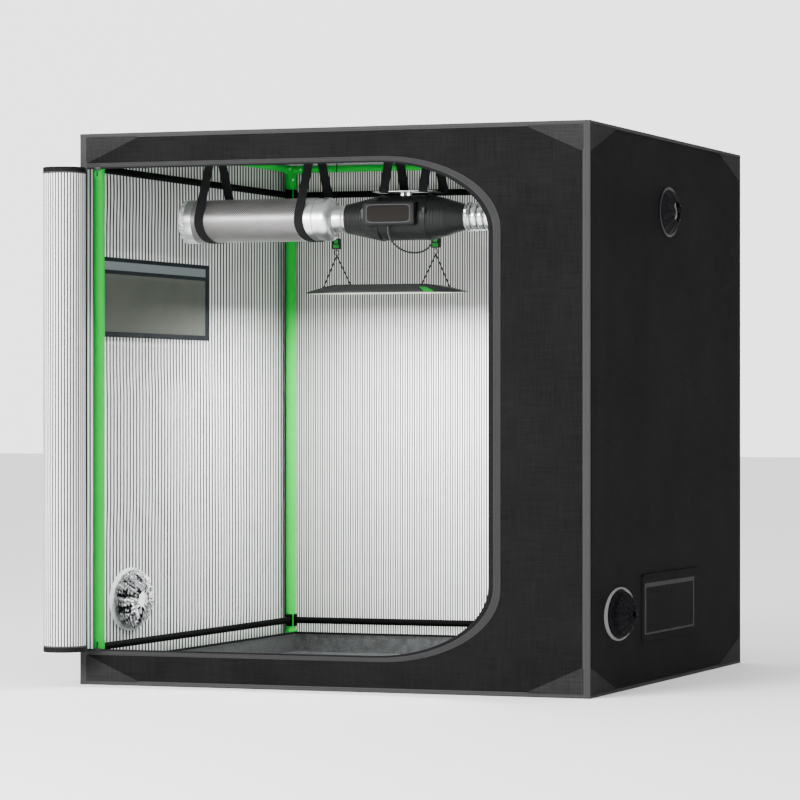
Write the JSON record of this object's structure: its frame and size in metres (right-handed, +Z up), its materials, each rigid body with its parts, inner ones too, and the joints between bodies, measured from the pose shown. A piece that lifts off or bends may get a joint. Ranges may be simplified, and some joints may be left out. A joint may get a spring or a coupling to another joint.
{
  "type": "indoor grow tent",
  "caption": "Lined indoor grow tent on a tube frame, door rolled open, with a carbon filter, inline fan, ribbed duct and lamp hung inside.",
  "frame": {"origin": "middle of the tent's footprint, on the floor it stands on", "axes": "+X to the right of someone who faces the doorway, +Y goes back into the tent, +Z up"},
  "size_m": [2.1318, 2.1455, 2.032],
  "materials": {
    "green_enamel": "gloss green powder coat on steel tube",
    "black_enamel": "black powder coat on steel tube",
    "black_oxford_cloth": "coated woven cloth, matt black outside, foil-lined inside",
    "grey_edge_tape": "woven binding tape",
    "white_foil_lining": "reflective foil lining",
    "silver_foil": "laminated aluminium foil",
    "black_webbing": "woven webbing and cord",
    "black_zip": "moulded black slider",
    "insect_screen": "fine dark mesh",
    "tray_cloth": "waterproof foil-faced cloth",
    "galvanised_steel": "bright galvanised sheet, punched all over",
    "polished_steel": "polished spun sheet",
    "black_plastic": "satin black moulding",
    "lamp_shell": "dark satin anodised shell"
  },
  "bodies": {
    "tent": {"pole_front_left": "green_enamel", "corner_fitting_front_left": "green_enamel", "pole_front_right": "green_enamel", "corner_fitting_front_right": "green_enamel", "pole_rear_left": "green_enamel", "corner_fitting_rear_left": "green_enamel", "pole_rear_right": "green_enamel", "corner_fitting_rear_right": "green_enamel", "top_rail_left": "green_enamel", "bottom_rail_left": "green_enamel", "top_rail_right": "green_enamel", "bottom_rail_right": "green_enamel", "top_rail_front": "green_enamel", "bottom_rail_front": "green_enamel", "top_rail_rear": "green_enamel", "bottom_rail_rear": "green_enamel", "upper_brace_left": "black_enamel", "upper_brace_right": "black_enamel", "upper_brace_rear": "black_enamel", "lower_brace_left": "black_enamel", "lower_brace_right": "black_enamel", "lower_brace_rear": "black_enamel", "filter_hanging_bar": "black_enamel", "roof_panel": "black_oxford_cloth", "floor_panel": "black_oxford_cloth", "rear_wall": "black_oxford_cloth", "left_wall": "black_oxford_cloth", "right_wall": "black_oxford_cloth", "front_panel": "black_oxford_cloth", "edge_tape": "grey_edge_tape", "door_edge_band": "grey_edge_tape", "floor_tray": "tray_cloth", "window_screen": "insect_screen", "vent_screen": "insect_screen", "duct_port_upper": "black_oxford_cloth", "duct_port_lower": "black_oxford_cloth", "duct_port_left": "silver_foil", "filter_body": "galvanised_steel", "filter_outlet_cap": "polished_steel", "filter_strap_1": "black_webbing", "filter_strap_2": "black_webbing", "fan_strap_1": "black_webbing", "fan_strap_2": "black_webbing", "fan_casing": "black_plastic", "fan_control_box": "black_plastic", "fan_lead": "black_plastic", "exhaust_duct": "silver_foil"},
    "door": {"door_roll": "white_foil_lining", "door_hinge_strip": "grey_edge_tape"},
    "window_cover": {"window_flap": "black_oxford_cloth"},
    "vent_cover": {"vent_flap": "black_oxford_cloth"},
    "upper_zip_slider": {"zip_slider_upper": "black_zip"},
    "lower_zip_slider": {"zip_slider_lower": "black_zip"},
    "impeller": {"fan_impeller": "black_plastic"},
    "lamp_bar": {"lamp_hanging_bar": "black_enamel", "lamp_rope_left": "black_webbing", "lamp_rope_right": "black_webbing"},
    "lamp": {"lamp_housing": "lamp_shell", "lamp_ratchet_left": "black_plastic", "lamp_ratchet_right": "black_plastic"}
  },
  "joints": [
    {"name": "door_swing", "type": "hinge", "parent": "tent", "child": "door", "pos_m": [-0.962, -0.9893, 0], "axis": [0, 0, 1], "range_deg": [-22, 42]},
    {"name": "window_cover_hinge", "type": "hinge", "parent": "tent", "child": "window_cover", "pos_m": [-0.9909, 0, 1.617], "axis": [0, 1, 0], "range_deg": [0, 165]},
    {"name": "vent_cover_hinge", "type": "hinge", "parent": "tent", "child": "vent_cover", "pos_m": [0.9909, 0, 0.406], "axis": [0, -1, 0], "range_deg": [0, 165]},
    {"name": "upper_zip_run", "type": "slide", "parent": "tent", "child": "upper_zip_slider", "axis": [1, 0, 0], "range_m": [0, 1.05]},
    {"name": "lower_zip_run", "type": "slide", "parent": "tent", "child": "lower_zip_slider", "axis": [1, 0, 0], "range_m": [0, 1.05]},
    {"name": "fan_spin", "type": "hinge", "parent": "tent", "child": "impeller", "pos_m": [0.13, -0.45, 1.728], "axis": [1, 0, 0], "continuous": true},
    {"name": "lamp_bar_slide", "type": "slide", "parent": "tent", "child": "lamp_bar", "axis": [0, 1, 0], "range_m": [-0.1, 0.85]},
    {"name": "lamp_height", "type": "slide", "parent": "lamp_bar", "child": "lamp", "axis": [0, 0, 1], "range_m": [-1, 0.24], "deforming": ["lamp_rope_left", "lamp_rope_right"]}
  ]
}
